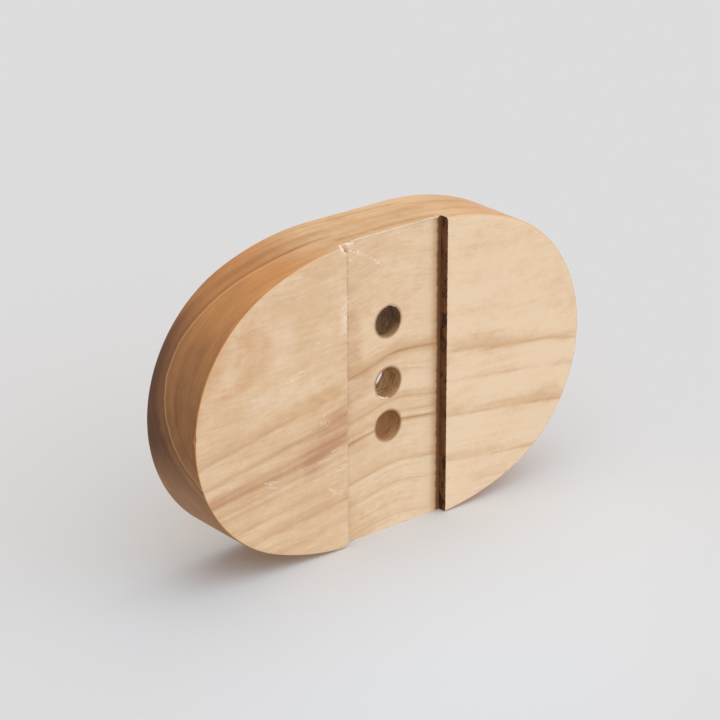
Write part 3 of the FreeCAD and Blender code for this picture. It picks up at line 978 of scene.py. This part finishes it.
def planed_channel():
    """The channel's floor: stains, scuffs, dark rings round the drains, painted shade at the foot of its
    left wall, and a scorched right edge deepened with painted shade.
    """
    bench = Finish("planed_channel", Edges=0.8, Rings=0.42, Base=0.07)
    place = bench.place()
    x, y, _ = bench.parts(place)
    ragged = bench.cloud(place, (0.2, 0.5, 0.5), 3.0, 0.6)
    near = bench.sum("MULTIPLY_ADD", bench.sum("SUBTRACT", ragged, 0.5), 1.2, x)
    uneven = bench.between(ragged, 0.3, 0.7, 0.15, 0.55)
    stain = bench.times(strongest(bench, CHANNEL_STAINS), uneven)
    colour = bench.blend(stain, bench.grain["Colour"], tone(198, 152, 116))
    # Painted shade along the foot of the channel's left wall, thinning along it and broken up.
    foot_shade = bench.between(x, *FOOT_SHADE_EDGE, 0.5, 0.0)
    foot_shade = bench.times(foot_shade, bench.between(y, *FOOT_SHADE_THINS, 1.0, 0.4))
    foot_shade = bench.times(foot_shade, bench.between(ragged, 0.4, 0.6, 0.3, 1.0))
    colour = bench.blend(foot_shade, colour, tone(150, 108, 80))
    marks = bench.effect(SANDING)["Mark"]
    colour = bench.blend(bench.times(marks, 0.12), colour, tone(238, 216, 192))
    flecks = bench.between(bench.effect(FLECKS)["Fleck"], 0.40, 0.60, 0.0, 0.75)
    scuffed = bench.times(strongest(bench, CHANNEL_SCUFFS), flecks)
    colour = bench.blend(scuffed, colour, tone(240, 224, 206))
    for drain in DRAINS:
        gap = bench.vector("DISTANCE", place, (*drain, CHANNEL_DEPTH), "Value")
        halo = bench.between(gap, DRAIN_RADIUS, DRAIN_RADIUS + DRAIN_HALO, 0.85, 0.0)
        colour = bench.blend(halo, colour, tone(138, 94, 62))
    # Scorch by the right wall, with painted shade of that wall laid over it.
    for start, full, strength, paint in SCORCH_AND_SHADE:
        burn = bench.between(near, CHANNEL_RIGHT - start, CHANNEL_RIGHT - full, 0.0, strength)
        colour = bench.blend(burn, colour, paint)
    height = bench.sum("MULTIPLY_ADD", marks, -0.4, bench.grain["Height"])
    return bench.done(colour, 0.025, 0.5, 0.68, height)


def scorched_wall():
    """The channel's walls, burnt brown by the cutter."""
    bench = Finish(
        "scorched_wall", Pale=tone(122, 80, 50), Mid=tone(102, 65, 40), Pink=tone(76, 48, 31),
        Tan=tone(74, 46, 30), Edge=tone(42, 28, 22), Streaks=0.8,
    )
    place = bench.place()
    burn = bench.between(bench.cloud(place, (0.3, 0.2, 0.35), 3.0, 0.6), 0.48, 0.6)
    colour = bench.blend(bench.times(burn, 0.85), bench.grain["Colour"], tone(44, 28, 22))
    return bench.done(colour, 0.04, 0.6, 0.78)


def drilled_bore():
    """The drains' bores: the near one darkest, with painted shade, the far one palest, and each with
    painted light inside its far lip.
    """
    bench = Finish(
        "drilled_bore", Pale=tone(198, 154, 104), Mid=tone(172, 128, 82), Pink=tone(140, 100, 64),
        Tan=tone(138, 98, 62), Edge=tone(90, 62, 42), Streaks=0.9,
    )
    place = bench.place()
    rubbed = bench.between(bench.cloud(place, (0.35, 0.35, 2.2), 3.0, 0.6), 0.42, 0.62)
    colour = bench.blend(bench.times(rubbed, 0.6), bench.grain["Colour"], tone(104, 74, 48))
    _, y, z = bench.parts(place)
    # Painted shade in the near drain; the far drain's wall made paler.
    colour = bench.blend(bench.between(y, *SHADED_NEAR_DRAIN, 0.5, 0.0), colour, tone(52, 36, 24))
    colour = bench.blend(bench.between(y, *PALE_DRAIN, 0.0, 0.45), colour, tone(196, 142, 90))
    # Painted light inside each drain's far lip, which faces the light, near the mouth.
    painted_lit_lip = bench.between(bench.effect(ENDS)["Far"], -0.8, -0.3, 0.5, 0.0)
    painted_lit_lip = bench.times(bench.between(z, CHANNEL_DEPTH, CHANNEL_DEPTH + 3, 1.0, 0.0), painted_lit_lip)
    colour = bench.blend(painted_lit_lip, colour, tone(216, 170, 130))
    return bench.done(colour, 0.05, 0.55, 0.75)


def rounded_edge():
    """The outer wall: end grain orange where it turns and brown at the left end, with painted shade that
    leaves the lit right end paler; painted light on the far side, which faces the floor; pale at the edge.
    """
    bench = Finish(
        "rounded_edge", Pale=tone(212, 174, 132), Mid=tone(198, 156, 113), Pink=tone(178, 130, 90),
        Tan=tone(188, 142, 98), Edge=tone(150, 104, 70), Edges=0.3, Streaks=0.9, Rings=0.55,
    )
    bench.shader.inputs["Specular IOR Level"].default_value = 0.12
    ends = bench.effect(ENDS)
    rings = bench.effect(RINGS)
    # The end grain's orange and brown go in full on the left end, which faces away from the light, and less
    # on the lit right end: partly the end grain's own colour, partly painted shade.
    left = bench.between(ends["Left"], 0.0, 1.0, 0.45, 1.0)
    warm = bench.times(bench.between(ends["Share"], 0.05, 0.32), left)
    place = bench.place()
    swing = bench.between(rings["Fine"], 0.3, 0.7, 0.0, 0.28)
    blotches = bench.between(bench.cloud(place, (0.05, 0.10, 0.22), 4.0, 0.6), 0.3, 0.7, 0.0, 0.34)
    deep = bench.sum("MULTIPLY_ADD", rings["Shade"], 0.35, bench.sum("ADD", swing, blotches))
    deep = bench.sum("MULTIPLY_ADD", bench.times(rings["Late"], ends["Share"]), 0.6, deep)
    orange = bench.blend(deep, tone(203, 141, 82), tone(158, 105, 62))
    colour = bench.blend(bench.times(warm, 0.95), bench.grain["Colour"], orange)
    brown = bench.blend(deep, tone(164, 113, 70), tone(106, 71, 48))
    end = bench.times(bench.between(ends["Share"], 0.55, 0.95, 0.0, 0.95), left)
    colour = bench.blend(end, colour, brown)
    height = bench.parts(place)[2]
    upper = bench.times(bench.between(height, 12.5, 18.5, 0.0, 0.75), end)
    colour = bench.blend(upper, colour, tone(100, 66, 48))
    # Painted light on the far side, which faces the floor.
    painted_floor_light = bench.blend(deep, tone(214, 162, 114), tone(176, 130, 92))
    colour = bench.blend(bench.between(ends["Far"], 0.05, 0.5, 0.0, 0.9), colour, painted_floor_light)
    colour = bench.blend(bench.times(rings["Dark"], 0.5), colour, tone(120, 78, 46))
    colour = bench.blend(bench.times(rings["Pale"], 0.85), colour, tone(218, 170, 120))
    eased = bench.between(height, 0.05, EDGE_EASE, 0.8, 0.0)
    eased = bench.times(eased, bench.sum("SUBTRACT", 1.0, warm))
    colour = bench.blend(eased, colour, tone(226, 194, 160))
    return bench.done(colour, 0.02, 0.48, 0.62)


def carved_bowl():
    """The bowl and the rim."""
    bench = Finish("carved_bowl", Base=0.12, Edges=0.5)
    return bench.done(bench.grain["Colour"], 0.03, 0.42, 0.6)


def torn_wood():
    """Broken places and loose fibres: pale and rough."""
    bench = Finish(
        "torn_wood", Pale=tone(240, 222, 204), Mid=tone(228, 204, 182), Pink=tone(206, 172, 146),
        Tan=tone(208, 176, 146), Edge=tone(176, 138, 108), Edges=0.2, Streaks=0.9,
    )
    return bench.done(bench.grain["Colour"], 0.08, 0.7, 0.85)


RINGS = growth_rings()
FIBRE = wood_fibre()
SANDING = sanding_marks()
SCUFF = scuff_mark()
FLECKS = worn_flecks()
ENDS = cut_across()
GRAIN = grained_wood()


# Stage. The dish stands on its far long side, so the floor is upright in the dish's own frame.
LIGHT_FROM = Vector((0.55, -0.60, -0.58))
KEY_LEVEL = 0.86
KEY_SPREAD = 158
SKY_LEVEL = 0.39
BACK_FROM = Vector((-0.3, -0.35, 0.9))
BACK_LEVEL = 0.35
BACK_SPREAD = 90
PANEL_PLACE = Vector((-30.0, -50.0, -45.0))
PANEL_SIZE = 80.0
PANEL_POWER = 0.012
PANEL_COLOUR = (0.3, 0.65, 1.0)
PALE = tone(221, 220, 220)
FLOOR_REACH = 4.0


def looked_at(bench):
    """Full for the camera's own rays, and for those by way of gloss or glass."""
    path = bench.node("ShaderNodeLightPath")
    rays = path.outputs["Is Camera Ray"]
    for name in ("Is Glossy Ray", "Is Transmission Ray"):
        rays = bench.sum("MAXIMUM", rays, path.outputs[name])
    return rays


def bare_bench(owner):
    """A bench on the emptied nodes of a material or a world."""
    owner.use_nodes = True
    owner.node_tree.nodes.clear()
    return Bench(owner.node_tree)


def show_either(bench, share, first, second, output):
    """Ends a tree in a mix of two shaders."""
    mix = bench.node("ShaderNodeMixShader")
    for socket, source in zip(mix.inputs, (share, first.outputs[0], second.outputs[0])):
        bench.feed(socket, source)
    bench.feed(bench.node(output).inputs["Surface"], mix.outputs[0])


def lay_floor():
    """A pale floor that shows its front to the camera and takes the dish's shadow."""
    mesh = bpy.data.meshes.new("pale_floor")
    level = HALF_WIDTH * MM
    corners = [(x * FLOOR_REACH, level, z * FLOOR_REACH) for x, z in ((-1, -1), (1, -1), (1, 1), (-1, 1))]
    mesh.from_pydata(corners, [], [(0, 1, 2, 3)])
    floor = put_in_scene("pale_floor", mesh)
    paint = bpy.data.materials.new("pale_floor")
    bench = bare_bench(paint)
    matt = bench.node("ShaderNodeBsdfDiffuse")
    matt.inputs["Color"].default_value = PALE
    behind = bench.node("ShaderNodeNewGeometry").outputs["Backfacing"]
    shown = bench.times(looked_at(bench), bench.sum("SUBTRACT", 1.0, behind))
    show_either(bench, shown, bench.node("ShaderNodeBsdfTransparent"), matt, "ShaderNodeOutputMaterial")
    mesh.materials.append(paint)
    return floor


def hang(name, kind, energy, facing):
    """A lamp of one kind that shines along facing."""
    lamp = bpy.data.lights.new(name, kind)
    lamp.energy = energy
    holder = put_in_scene(name, lamp)
    holder.rotation_euler = facing.to_track_quat("-Z", "Y").to_euler()
    return holder


def hang_lamp(name, source, level, spread):
    """A soft far lamp; level 1 lights a facing white card to full white."""
    holder = hang(name, "SUN", level * math.pi, -source)
    holder.data.angle = math.radians(spread)
    return holder


def hang_panel():
    """A small cool panel over the floor in front, against the warm light that the wood throws there."""
    holder = hang("cool_panel", "AREA", PANEL_POWER, Vector((0, 1, 0)))
    holder.data.size = PANEL_SIZE * MM
    holder.data.color = PANEL_COLOUR
    holder.location = PANEL_PLACE * MM
    return holder


def light_only(lamp, piece):
    """Keeps a lamp's light to one piece."""
    lit = bpy.data.collections.new("lit_by_" + lamp.name)
    lit.objects.link(piece)
    lamp.light_linking.receiver_collection = lit


def light_sky():
    """An even soft light from all sides, in front of a pale backdrop."""
    world = bpy.data.worlds.new("pale_room")
    bpy.context.scene.world = world
    bench = bare_bench(world)
    glow = bench.node("ShaderNodeBackground")
    glow.inputs["Color"].default_value = (1, 1, 1, 1)
    glow.inputs["Strength"].default_value = SKY_LEVEL
    backdrop = bench.node("ShaderNodeBackground")
    backdrop.inputs["Color"].default_value = PALE
    show_either(bench, looked_at(bench), glow, backdrop, "ShaderNodeOutputWorld")


# Camera, in millimetres and degrees: it looks up at the underside, with the near long side uppermost.
CAMERA_PLACE = Vector((-423.68, -281.54, -504.47))
CAMERA_AIM = Vector((-11.722, -9.776, 0.0))
CAMERA_ROLL = -0.191
CAMERA_LENS = 141.655
CAMERA_SENSOR = 36


def set_camera():
    """The camera at its place, aimed and rolled a little."""
    sight = (CAMERA_AIM - CAMERA_PLACE).normalized()
    level = sight.cross(Vector((0, -1, 0))).normalized()
    above = level.cross(sight)
    roll = math.radians(CAMERA_ROLL)
    right = level * math.cos(roll) + above * math.sin(roll)
    up = right.cross(sight)
    frame_axes = Matrix((right, up, -sight)).transposed().to_4x4()
    camera = bpy.data.cameras.new("picture_camera")
    camera.lens = CAMERA_LENS
    camera.sensor_width = CAMERA_SENSOR
    holder = put_in_scene("picture_camera", camera)
    holder.matrix_world = Matrix.Translation(CAMERA_PLACE * MM) @ frame_axes
    bpy.context.scene.camera = holder


dish = carve_dish()
for finish in (
    sanded_face, planed_channel, scorched_wall, drilled_bore,
    rounded_edge, carved_bowl, torn_wood,
):
    dish.data.materials.append(finish())
fibres = tear_fibres()
fibres.data.materials.append(bpy.data.materials["torn_wood"])
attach(fibres, "root")
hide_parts("dish_body")
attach(dish, "root")

floor = lay_floor()
hang_lamp("key_lamp", LIGHT_FROM, KEY_LEVEL, KEY_SPREAD)
light_only(hang_lamp("back_lamp", BACK_FROM, BACK_LEVEL, BACK_SPREAD), dish)
light_only(hang_panel(), floor)
light_sky()
set_camera()
bpy.context.scene.view_settings.view_transform = "Standard"
